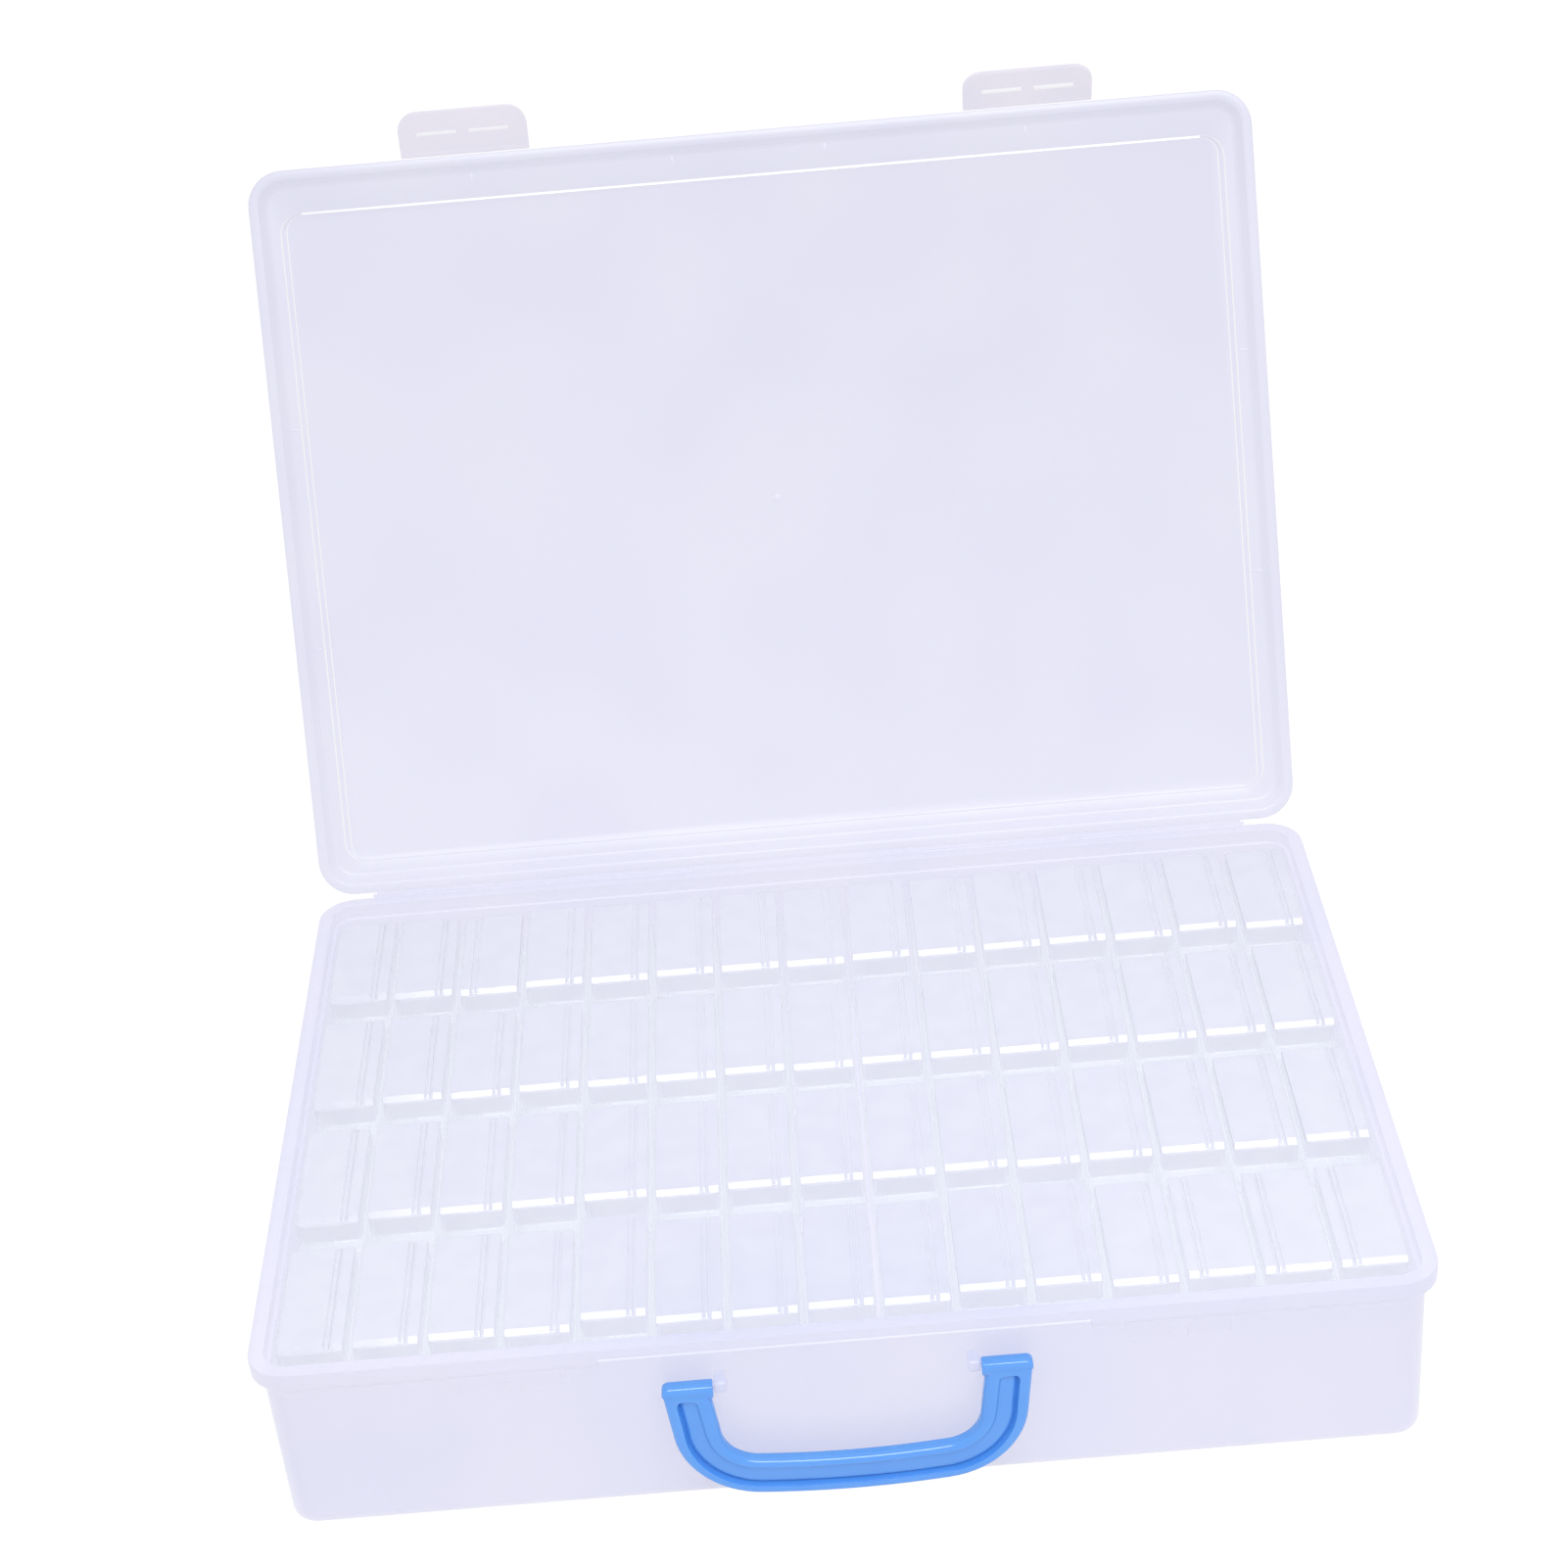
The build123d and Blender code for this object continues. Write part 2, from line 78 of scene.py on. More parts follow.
camera.data.lens = FOCAL_PIXELS / FRAME_PIXELS * SENSOR
camera.data.clip_start, camera.data.clip_end = 0.05, 50
bpy.context.scene.camera = camera
print("lens", round(camera.data.lens, 1), "mm")

# %% [markdown]
# ## Surfaces from numbers
# Every new piece is a stack of rings: closed lines of points, one above the other, joined by
# four-sided faces. The rings could be drawn by hand in edit mode, but worked out with numpy they
# keep to the millimetres of the real piece. A closed skin has its faces turned outwards by the sign
# of its volume.

# %% Rings to meshes
MM = 0.001


def skin(rings, loop=False):
    """Rings of shape (rows, points, 3) to vertices and faces.

    Point (i, j) joins its neighbours (i, j+1), (i+1, j+1) and (i+1, j), and j wraps round. The
    first and last rings are closed by one face each, or joined to each other where loop is true.
    """
    rings = np.asarray(rings, float)
    rows, points = rings.shape[:2]
    index = np.arange(rows * points).reshape(rows, points)
    low = index if loop else index[:-1]
    high = np.roll(index, -1, axis=0) if loop else index[1:]
    quads = np.stack([low, np.roll(low, -1, 1), np.roll(high, -1, 1), high], axis=-1).reshape(-1, 4)
    faces = [tuple(q) for q in quads.tolist()]
    if not loop:
        faces += [tuple(index[0, ::-1].tolist()), tuple(index[-1].tolist())]
    return rings.reshape(-1, 3), faces


def volume(verts, faces):
    """Signed volume: the sum over fan triangles of a . (b x c) / 6."""
    fans = np.array([(f[0], f[k], f[k + 1]) for f in faces for k in range(1, len(f) - 1)])
    a, b, c = (verts[fans[:, k]] for k in range(3))
    return float(np.einsum("ij,ij->i", a, np.cross(b, c)).sum() / 6)


def outward(part):
    """The same part with its faces turned outwards."""
    verts, faces = part
    if volume(verts, faces) < 0:
        faces = [f[::-1] for f in faces]
    return verts, faces


def piece(name, parts, material, body, replaced=(), sharp=35, lines=(), line_material=None):
    """One object from closed parts given in millimetres, riding on a body.

    The parts in lines take line_material.
    """
    verts, faces, start = [], [], 0
    plain = sum(len(part_faces) for _, part_faces in parts)
    for part_verts, part_faces in map(outward, [*parts, *lines]):
        verts.append(part_verts)
        faces += [tuple(v + start for v in f) for f in part_faces]
        start += len(part_verts)
    mesh = bpy.data.meshes.new(name)
    mesh.from_pydata((np.concatenate(verts) * MM).tolist(), [], faces)
    mesh.update()
    mesh.shade_smooth()
    mesh.set_sharp_from_angle(angle=math.radians(sharp))
    mesh.materials.append(material)
    if lines:
        mesh.materials.append(line_material)
        mesh.polygons.foreach_set("material_index", [int(i >= plain) for i in range(len(faces))])
    made = bpy.data.objects.new(name, mesh)
    bpy.context.scene.collection.objects.link(made)
    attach(made, body)
    if replaced:
        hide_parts(*replaced)
    return made


def corners(half_x, half_y, radius, steps=3):
    """A rounded rectangle, anticlockwise: at each corner a quarter circle of steps + 1 points."""
    turn = np.linspace(0, math.pi / 2, steps + 1)
    points = []
    for quarter, (sx, sy) in enumerate([(1, -1), (1, 1), (-1, 1), (-1, -1)]):
        angle = turn + (quarter - 1) * math.pi / 2
        points.append(np.stack([
            sx * (half_x - radius) + radius * np.cos(angle),
            sy * (half_y - radius) + radius * np.sin(angle),
        ], axis=-1))
    return np.concatenate(points)


def at(outline, z, shift=(0, 0)):
    """A flat outline lifted to height z and moved by shift."""
    return np.column_stack([outline + np.asarray(shift), np.full(len(outline), z)])


def miters(outline):
    """At each point of an outline, the inward miter: (n1 + n2) / (1 + n1 . n2) of its two edge normals."""
    edge = np.roll(outline, -1, 0) - outline
    edge /= np.linalg.norm(edge, axis=1, keepdims=True)
    normal = np.stack([-edge[:, 1], edge[:, 0]], -1)
    before = np.roll(normal, 1, 0)
    return (normal + before) / (1 + np.einsum("ij,ij->i", normal, before))[:, None]


def prism(outline, start, end, edge, place):
    """An outline carried from start to end, its rim eased by edge at both ends.

    Inset and distance follow a quarter circle: inset = edge (1 - cos a), step = edge (1 - sin a).
    """
    outline = np.asarray(outline, float)
    inward = miters(outline)
    quarter = np.radians([90, 45, 0])
    rows = [(edge * (1 - math.cos(a)), start + edge * (1 - math.sin(a))) for a in quarter]
    rows += [(inset, start + end - along) for inset, along in reversed(rows)]
    rings = [np.column_stack([outline + inset * inward, np.full(len(outline), along)])
             for inset, along in rows]
    return skin(place(np.array(rings)))


def across_x(rings):
    """Outline in (y, z), carried along x."""
    return rings[..., [2, 0, 1]]


def across_y(rings):
    """Outline in (x, z), carried along y."""
    return rings[..., [0, 2, 1]]


# %% [markdown]
# ## Finishes
# The case and lid are natural polypropylene: milky, a little blue in daylight, and glossy only where
# an edge catches the light. The real light path inside such a wall is long and costly to trace. The
# walls are thin, though, so a surface that is partly see-through gives the same look: what lies
# behind shows through, and each further wall adds some of the plastic's own pale colour. Seen at a
# slant a wall is thicker, so it is more solid there. Layer Weight gives that change.

# %% Nodes and colours
PLASTIC_IOR = 1.49
GLOW_SHARE = 0.8
WHITE = (1, 1, 1, 1)


def linear(hex_colour):
    """An sRGB hex colour as linear light: c / 12.92 below 0.04045, else ((c + 0.055) / 1.055) ^ 2.4."""
    channels = [int(hex_colour[i:i + 2], 16) / 255 for i in (1, 3, 5)]
    return tuple(c / 12.92 if c <= 0.04045 else ((c + 0.055) / 1.055) ** 2.4 for c in channels) + (1.0,)


def node(tree, kind, settings=None, inputs=None):
    """Adds a node, sets its properties, and sets or links its inputs by name or number."""
    made = tree.nodes.new(kind)
    for key, value in (settings or {}).items():
        setattr(made, key, value)
    for key, value in (inputs or {}).items():
        if isinstance(value, bpy.types.NodeSocket):
            tree.links.new(value, made.inputs[key])
        else:
            made.inputs[key].default_value = value
    return made


def blank(name):
    """A new material with only its output node."""
    material = bpy.data.materials.new(name)
    material.use_nodes = True
    material.node_tree.nodes.clear()
    return material, material.node_tree


def clear_plastic(name, thin, thick, solid, slant_solid, roughness, flow_mm, mirror_share=1.0):
    """A thin see-through moulded wall: part clear, part lit skin, part glow of the light behind it.

    Its colour runs from thin to thick with slow flow marks, flow_mm across. Its opacity runs from
    solid, seen square on, to slant_solid, seen along the wall. Of what it stops, GLOW_SHARE comes
    through as soft light from behind. Its polished skin mirrors light by Fresnel's law over all of
    that, times mirror_share. Lamps and soft light reach what is behind it.
    """
    material, tree = blank(name)
    place = node(tree, "ShaderNodeTexCoord").outputs["Object"]
    flow = node(tree, "ShaderNodeTexNoise", None,
                {"Vector": place, "Scale": 1 / (flow_mm * MM), "Detail": 0.0})
    tone = node(tree, "ShaderNodeMapRange", None,
                {"Value": flow.outputs["Fac"], "From Min": 0.3, "From Max": 0.7})
    colour = node(tree, "ShaderNodeMix", {"data_type": "RGBA"},
                  {"Factor": tone.outputs["Result"], "A": linear(thin), "B": linear(thick)})
    slant = node(tree, "ShaderNodeLayerWeight", None, {"Blend": 0.35})
    opacity = node(tree, "ShaderNodeMapRange", None,
                   {"Value": slant.outputs["Facing"], "To Min": solid, "To Max": slant_solid})
    lit = node(tree, "ShaderNodeBsdfPrincipled", None, {
        "Base Color": colour.outputs["Result"], "Roughness": roughness, "IOR": PLASTIC_IOR,
        "Specular IOR Level": 0.0,
    })
    glow = node(tree, "ShaderNodeBsdfTranslucent", None, {"Color": colour.outputs["Result"]})
    wall = node(tree, "ShaderNodeMixShader", None,
                {0: GLOW_SHARE, 1: lit.outputs["BSDF"], 2: glow.outputs["BSDF"]})
    clear = node(tree, "ShaderNodeBsdfTransparent", None, {"Color": WHITE})
    body = node(tree, "ShaderNodeMixShader", None,
                {0: opacity.outputs["Result"], 1: clear.outputs["BSDF"], 2: wall.outputs["Shader"]})
    mirror = node(tree, "ShaderNodeBsdfAnisotropic", None, {"Color": WHITE, "Roughness": roughness})
    fresnel = node(tree, "ShaderNodeFresnel", None, {"IOR": PLASTIC_IOR})
    inside = node(tree, "ShaderNodeNewGeometry").outputs["Backfacing"]
    outside = node(tree, "ShaderNodeMath", {"operation": "SUBTRACT"}, {0: 1.0, 1: inside})
    polish = node(tree, "ShaderNodeMath", {"operation": "MULTIPLY"},
                  {0: outside.outputs[0], 1: mirror_share})
    mirrored = node(tree, "ShaderNodeMath", {"operation": "MULTIPLY"},
                    {0: fresnel.outputs["Fac"], 1: polish.outputs[0]})
    shader = node(tree, "ShaderNodeMixShader", None,
                  {0: mirrored.outputs[0], 1: body.outputs["Shader"], 2: mirror.outputs["BSDF"]})
    ray = node(tree, "ShaderNodeLightPath")
    passing = node(tree, "ShaderNodeBsdfTransparent", None, {"Color": WHITE})
    for kind in ("Is Diffuse Ray", "Is Shadow Ray"):
        shader = node(tree, "ShaderNodeMixShader", None,
                      {0: ray.outputs[kind], 1: shader.outputs["Shader"], 2: passing.outputs["BSDF"]})
    node(tree, "ShaderNodeOutputMaterial", None, {"Surface": shader.outputs["Shader"]})
    return material


# %% Natural polypropylene of the case and lid
# Moulded in a polished tool, so the faces are smooth with slow flow marks. IOR of polypropylene 1.49.
case_plastic = clear_plastic("moulded_natural_polypropylene", "#E8E8FC", "#EBEAFC", 0.7, 0.82, 0.3, 40)
lid_plastic = clear_plastic("moulded_milky_polypropylene", "#E9E9FB", "#ECECFC", 0.82, 0.84, 0.3, 40)
tab_plastic = clear_plastic("moulded_thin_polypropylene", "#EEEAF9", "#F1EDFA", 0.72, 0.75, 0.3, 20)

# %% Painted highlight lines
# A near-white copy of the moulded plastic, a painted highlight: it stands in for the glints along the
# lid's step edges and the tabs' hook ridges.
painted_highlight_plastic = clear_plastic("painted_highlight_polypropylene", "#FBFBFF", "#FDFDFF", 0.9, 0.92, 0.2, 10)

# %% Clear polypropylene of the bottles, and the glossier caps
# The bottles stand close, so their skins mirror only a third as much: the gaps between them stay light.
bottle_plastic = clear_plastic("moulded_clear_bottle_plastic", "#EEF2FD", "#F1F4FE", 0.16, 0.45, 0.12, 14,
                               mirror_share=0.3)
cap_plastic = clear_plastic("moulded_glossy_cap_plastic", "#E6E7F6", "#E9EAF8", 0.5, 0.72, 0.12, 8)

# %% [markdown]
# The handle is the one coloured piece: opaque polypropylene with a blue masterbatch, moulded with a
# satin face. Its colour hardly changes, so the finish comes from a fine spark texture, about a third
# of a millimetre across, that spreads the highlight, and from slow flow shading.

# %% Blue satin polypropylene of the handle
SPARK_MM = 0.7
FLOW_MM = 18
handle_plastic, tree = blank("satin_blue_polypropylene")
place = node(tree, "ShaderNodeTexCoord").outputs["Object"]
flow = node(tree, "ShaderNodeTexNoise", None,
            {"Vector": place, "Scale": 1 / (FLOW_MM * MM), "Detail": 2.0})
colour = node(tree, "ShaderNodeMix", {"data_type": "RGBA"},
              {"Factor": flow.outputs["Fac"], "A": linear("#4890E4"), "B": linear("#549AE8")})
spark = node(tree, "ShaderNodeTexNoise", None,
             {"Vector": place, "Scale": 1 / (SPARK_MM * MM), "Detail": 2.0})
gloss = node(tree, "ShaderNodeMapRange", None,
             {"Value": spark.outputs["Fac"], "To Min": 0.12, "To Max": 0.2})
bump = node(tree, "ShaderNodeBump", None,
            {"Height": spark.outputs["Fac"], "Strength": 0.1, "Distance": 0.05 * MM})
shader = node(tree, "ShaderNodeBsdfPrincipled", None, {
    "Base Color": colour.outputs["Result"], "Roughness": gloss.outputs["Result"], "IOR": PLASTIC_IOR,
    "Specular IOR Level": 0.9, "Subsurface Weight": 0.15, "Subsurface Scale": 0.002,
    "Normal": bump.outputs["Normal"],
})
node(tree, "ShaderNodeOutputMaterial", None, {"Surface": shader.outputs["BSDF"]})
print("materials:", [m.name for m in bpy.data.materials if m.name.startswith(("moulded", "satin"))])

# %% [markdown]
# ## Case base
# The base is one moulding: a thin drafted wall, a round bottom edge, a flare up to the flange, and a
# step inside below the rim. Its skin is one section carried round the rim's outline. Each section
# point is an inset from the rim and a height, so a corner keeps its centre and only its radius
# shrinks. Along the front the section changes: the lip is shorter between the latches.

# %% Case section and outline
RIM_X, RIM_Y, RIM_Z, RIM_CORNER = 170.0, 124.5, 62.0, 12.0
FLARE_Z, FLANGE_Z = 53.0, 56.2
WALL_IN, FOOT_IN, INSIDE_IN, STEP_IN = 3.3, 4.1, 5.8, 4.6
BOTTOM_R, STEP_Z, FLOOR_Z = 5.0, 57.4, 2.0
LIP_HALF, LIP_Z, LIP_BLEND = 70.0, 58.0, 0.15


def rim_outline(half_x, half_y, radius, front_xs=(), steps=8):
    """The rim's outline and its outward normals, with extra points along the front edge."""
    points = corners(half_x, half_y, radius, steps)
    turn = np.linspace(-math.pi / 2, 0, steps + 1)
    angle = np.concatenate([turn + quarter * math.pi / 2 for quarter in range(4)])
    normals = np.stack([np.cos(angle), np.sin(angle)], -1)
    front = np.array(sorted(front_xs), float)
    extra = np.stack([front, np.full(len(front), -half_y)], -1)
    down = np.tile([0.0, -1.0], (len(front), 1))
    return np.concatenate([extra, points]), np.concatenate([down, normals])


def offset_rings(outline, normals, section):
    """Rings at inset d and height z of each section point: outline - d * normal, lifted to z.

    The section has shape (rows, 2), or (rows, points, 2) where it changes round the outline.
    """
    section = np.asarray(section, float)
    if section.ndim == 2:
        section = np.repeat(section[:, None, :], len(outline), axis=1)
    flat = outline[None] - section[..., :1] * normals[None]
    return np.concatenate([flat, section[..., 1:]], axis=-1)


def arc(centre, radius, start, end, steps):
    """Section points on a circle, angles in degrees from +inset towards +z."""
    angle = np.radians(np.linspace(start, end, steps + 1))
    return np.stack([centre[0] + radius * np.cos(angle), centre[1] + radius * np.sin(angle)], -1)


front_xs = [s * (LIP_HALF + k * LIP_BLEND) for s in (-1, 1) for k in (-1, 1)] + [-135, -35, 0, 35, 135]
outline, normals = rim_outline(RIM_X, RIM_Y, RIM_CORNER, front_xs)
bottom = arc((FOOT_IN + BOTTOM_R, BOTTOM_R), BOTTOM_R, 270, 180, 6)
below = np.concatenate([bottom, [(WALL_IN + 0.05, FLARE_Z - 3), (WALL_IN, FLARE_Z)]])
above = np.array([
    (0.25, 56.3), (0, 56.7), (0, 57.0), (0, RIM_Z - 0.6), (0.18, RIM_Z - 0.18), (0.6, RIM_Z),
    (STEP_IN - 0.5, RIM_Z), (STEP_IN - 0.12, RIM_Z - 0.12), (STEP_IN, RIM_Z - 0.5),
    (STEP_IN, STEP_Z), (INSIDE_IN - 0.2, STEP_Z), (INSIDE_IN, STEP_Z - 0.2),
    (INSIDE_IN, FLOOR_Z + 1), (INSIDE_IN + 0.3, FLOOR_Z + 0.3), (INSIDE_IN + 1, FLOOR_Z),
])
section = np.repeat(np.concatenate([below, above])[:, None, :], len(outline), axis=1)
on_lip = (np.abs(outline[:, 0]) < LIP_HALF) & (outline[:, 1] < 0)
row = len(below)
section[row - 1, on_lip] = (WALL_IN, LIP_Z)
section[row, on_lip] = (-0.35, LIP_Z + 0.1)
section[row + 1, on_lip] = (-0.35, LIP_Z + 0.25)
section[row + 2, on_lip] = (0, LIP_Z + 0.6)
base_parts = [skin(offset_rings(outline, normals, section))]
print("case skin", section.shape)

# %% [markdown]
# The small things on the front wall are prisms with an eased rim: the notched latch seats, and the
# lugs with the pins that the handle turns on. Each is set against the wall that carries it. A thin
# rail behind the rim carries the hinges, and closes the slot between them to the eye.

# %% Latch seats, lugs and pins
LATCH_X, SEAT_HALF, SEAT_LOW, SEAT_Y = 95.0, 15.15, 47.7, -122.9
NOTCH_HALF, NOTCH_TOP = 2.25, 52.0
PIVOT_Y, PIVOT_Z, LUG_R, PIN_R = -126.0, 47.4, 2.3, 1.1
SEAT_BACK_Y, LUG_BACK_Y, LUG_X, PIN_X = -120.6, -120.8, (34.4, 37.8), (34.0, 45.8)

for side in (-1, 1):
    seat = np.array([
        (-SEAT_HALF, SEAT_LOW), (-NOTCH_HALF, SEAT_LOW), (-NOTCH_HALF, NOTCH_TOP), (NOTCH_HALF, NOTCH_TOP),
        (NOTCH_HALF, SEAT_LOW), (SEAT_HALF, SEAT_LOW), (SEAT_HALF, FLANGE_Z), (-SEAT_HALF, FLANGE_Z),
    ]) + (side * LATCH_X, 0)
    base_parts.append(prism(seat, SEAT_Y, SEAT_BACK_Y, 0.3, across_y))
    swing = np.radians(np.linspace(90, 270, 9))
    lug = np.concatenate([
        np.stack([PIVOT_Y + LUG_R * np.cos(swing), PIVOT_Z + LUG_R * np.sin(swing)], -1),
        [(LUG_BACK_Y, PIVOT_Z - 1.5), (LUG_BACK_Y, PIVOT_Z + 0.6)],
    ])
    base_parts.append(prism(lug, *sorted(side * x for x in LUG_X), 0.4, across_x))
    round_pin = np.radians(np.arange(0, 360, 30))
    pin = np.stack([PIVOT_Y + PIN_R * np.cos(round_pin), PIVOT_Z + PIN_R * np.sin(round_pin)], -1)
    base_parts.append(prism(pin, *sorted(side * x for x in PIN_X), 0.25, across_x))
RAIL_HALF, RAIL_FRONT, RAIL_BACK, RAIL_LOW, RAIL_HIGH = 151.0, RIM_Y - 0.4, 128.2, 60.9, 61.7
rail = np.array([
    (RAIL_FRONT, RAIL_LOW), (RAIL_BACK, RAIL_LOW), (RAIL_BACK, RAIL_HIGH), (RAIL_FRONT, RAIL_HIGH),
])
base_parts.append(prism(rail, -RAIL_HALF, RAIL_HALF, 0.2, across_x))
case_base = piece("case_shell", base_parts, case_plastic, "case", ["case_base"])
print("case faces", len(case_base.data.polygons))

# %% [markdown]
# ## Lid
# The lid is the same kind of moulding, shallower: a flat lip, drafted sides, and a large panel that
# stands out by a small sloped step. The section is carried round in the lid's own plane, and then
# laid back on the hinge line.

# %% Lid skin
LEAN = math.radians(22.35)
HINGE_Y, HINGE_Z = 125.4, 62.15
REST_GAP, LID_MIDDLE = 0.15, 125.4


def on_lid(rings):
    """(x, up the lid, depth behind its face) to the row frame: turned back by LEAN at the hinge line."""
    x, rise, depth = rings[..., 0], rings[..., 1] + LID_MIDDLE, rings[..., 2] + REST_GAP
    return np.stack([
        x,
        HINGE_Y + rise * math.sin(LEAN) + depth * math.cos(LEAN),
        HINGE_Z + rise * math.cos(LEAN) - depth * math.sin(LEAN),
    ], axis=-1)


PANEL_HALF_X, PANEL_HALF_Y, PANEL_SHIFT, SLOPE = 160.8, 112.2, -2.2, 1.9
lid_outline, lid_normals = rim_outline(RIM_X, RIM_Y, RIM_CORNER)


def panel_rings(section):
    """Rings of the panel's own rounded outline, from (inset, depth) points.

    An inset counts a quarter at the top and bottom, where the step is steeper.
    """
    return [at(corners(PANEL_HALF_X - inset, PANEL_HALF_Y - inset / 4, 7 - inset / 2, 8), depth,
               (0, PANEL_SHIFT)) for inset, depth in section]


behind = panel_rings([(SLOPE + 0.4, 9.0), (SLOPE - 0.3, 8.9), (0.2, 8.15), (-0.3, 8.0)])
crown = [
    (5.4, 8.0), (4.75, 7.78), (3.9, 7.2), (3.1, 6.2), (2.1, 2.4), (1.9, 2.1), (0.5, 2.05),
    (0.15, 1.95), (0, 1.7), (0, 0.4), (0.1, 0.1), (0.35, 0.0), (2.9, 0.0),
]
hollow = [(3.3, 0.15), (3.5, 0.5), (4.7, 5.0), (5.0, 5.7), (5.6, 6.2), (6.4, 6.4)]
well = panel_rings([(-0.3, 6.4), (0.3, 6.5), (SLOPE - 0.2, 7.3), (SLOPE + 0.3, 7.4)])
lid_rings = np.concatenate([behind, offset_rings(lid_outline, lid_normals, crown + hollow), well])
lid_parts = [skin(on_lid(lid_rings))]
print("lid skin", lid_rings.shape)

# %% Step lines
# Two fine beads follow the edges of the step, in the near-white colour of a painted highlight. At the
# bottom, in its shade, they sit a little deeper.
BEAD_R, BEAD_SINK = 0.32, 0.15
bead_angle = np.radians(np.arange(0, 360, 60))
step_lines = []
for inset, depth in ((0.0, 6.55), (SLOPE, 7.5)):
    bead_section = [(inset + BEAD_R * math.cos(a), depth + BEAD_R * math.sin(a)) for a in bead_angle]
    bead = np.array(panel_rings(bead_section))
    bead[bead[..., 1] < PANEL_SHIFT - PANEL_HALF_Y + 4, 2] += BEAD_SINK
    step_lines.append(skin(on_lid(bead), loop=True))

# Along the top the step's polished face leans about 7 degrees more than the lid, so it mirrors the
# soft box as one bright line. Its near-white colour adds a painted highlight to that line.
FACET_HALF, FACET_DROP = 153.0, 0.1
facet = [(0.2, 6.2), (0.2, 7.45), (-0.55, 7.45), (-0.55, 6.2 - FACET_DROP)]
step_top = PANEL_HALF_Y + PANEL_SHIFT
bright_face = np.array([[(x, step_top + rise, depth) for rise, depth in facet]
                        for x in (-FACET_HALF, FACET_HALF)])
step_lines.append(skin(on_lid(bright_face)))

# %% [markdown]
# Two kinds of small marks stand on the inside of the lid: the moulding gate, a ring in the middle,
# and short ticks on the border. They catch the light as small bright dashes.

# %% Gate and ticks
GATE_R, TICK_THIN, TICK_LONG = 1.6, 0.45, 1.8
round_gate = np.radians(np.arange(0, 360, 30))
gate = GATE_R * np.stack([np.cos(round_gate), np.sin(round_gate)], -1)
lid_parts.append(prism(gate + (0, -0.2), 6.9, 7.45, 0.15, on_lid))
tick_places = [(x, RIM_Y - 7.8, TICK_THIN, TICK_LONG) for x in (-94.3, -26, 26, 94.3)]
tick_places += [(s * (RIM_X - 6.6), rise - LID_MIDDLE, TICK_LONG, TICK_THIN)
                for s in (-1, 1) for rise in (86.5, 162.5)]
for x, rise, half_x, half_rise in tick_places:
    tick = corners(half_x, half_rise, 0.3, 1) + (x, rise)
    lid_parts.append(prism(tick, 6.0, 6.45, 0.12, on_lid))
lid = piece("lid_shell", lid_parts, lid_plastic, "lid", ["lid"],
            lines=step_lines, line_material=painted_highlight_plastic)
print("lid faces", len(lid.data.polygons))

# %% [markdown]
# ## Latch tabs
# Each tab is a rounded flap on a thin fold line along the lid's front edge, with two short hook ridges
# on its inner face. The open lid shows them at the top, folded inward by different angles.

# %% Latch tabs
# The fold line lies SINK behind the lid's face and REACH from the hinge line. FOLDS gives each tab's
# side, its fold in degrees and its name.
TAB_HALF, TAB_START, TAB_END, TAB_CORNER = 21.75, 1.0, 15.2, 6.5
TAB_FRONT, TAB_BACK = 0.5, -1.3
HOOK_AT, HOOK_HALF, HOOK_THIN, HOOK_STARTS = 7.8, 6.75, 0.5, (-15.5, 2.0)
SINK, REACH = 0.65, 250.8
FOLDS = ((-1, 23.0, "left"), (1, 47.0, "right"))


def on_tab(side, fold):
    """A map from (x, along the tab, towards its inner face) to the row frame, turned by fold degrees."""
    lift = math.pi / 2 - LEAN
    turned = lift + math.radians(fold)
    y0 = HINGE_Y + REACH * math.cos(lift) + SINK * math.sin(lift)
    z0 = HINGE_Z + REACH * math.sin(lift) - SINK * math.cos(lift)

    def place(rings):
        x, along, inward = rings[..., 0], rings[..., 1], rings[..., 2]
        return np.stack([
            x + side * LATCH_X,
            y0 + along * math.cos(turned) - inward * math.sin(turned),
            z0 + along * math.sin(turned) + inward * math.cos(turned),
        ], axis=-1)

    return place


for side, fold, label in FOLDS:
    place_tab = on_tab(side, fold)
    end_turn = np.radians(np.linspace(0, 90, 6))
    end_curve = np.stack([TAB_HALF - TAB_CORNER + TAB_CORNER * np.cos(end_turn),
                          TAB_END - TAB_CORNER + TAB_CORNER * np.sin(end_turn)], -1)
    tab_outline = np.concatenate([[(-TAB_HALF, TAB_START), (TAB_HALF, TAB_START)], end_curve,
                                  (end_curve * (-1, 1))[::-1]])
    tab_parts = [prism(tab_outline, TAB_BACK, TAB_FRONT, 0.4, place_tab)]
    fold_line = corners(TAB_HALF, 0.8, 0.3, 1) + (0, 0.25)
    tab_parts.append(prism(fold_line, -0.4, 0.4, 0.2, place_tab))
    # The hook ridges take the near-white colour of a painted highlight.
    hooks = []
    for start in HOOK_STARTS:
        hook = corners(HOOK_HALF, HOOK_THIN, 0.4, 2) + (start + HOOK_HALF, HOOK_AT)
        hooks.append(prism(hook, TAB_FRONT - 0.3, TAB_FRONT + 1.2, 0.4, place_tab))
    piece("latch_flap_" + label, tab_parts, tab_plastic, "latch_" + label,
          ["latch_tab_" + label], lines=hooks, line_material=painted_highlight_plastic)

# %% [markdown]
# The hinge strips at the back are already right as solids, so they stay and only take the finish of
# the case.

# %% Hinge strips
for name in ("hinge_strip_left", "hinge_strip_right"):
    nodes[name].data.materials.clear()
    nodes[name].data.materials.append(case_plastic)

# %% [markdown]
# ## Handle
# The bow hangs between two edges: each runs along the bar in a very shallow arc, round a bend, and up
# the leg in a line. The band between them is a little narrower along the bar. Its section has round
# edges and a channel in its face that is deeper on the outer side, where the shade gathers. Near each
# boss the channel closes in a blunt round end.

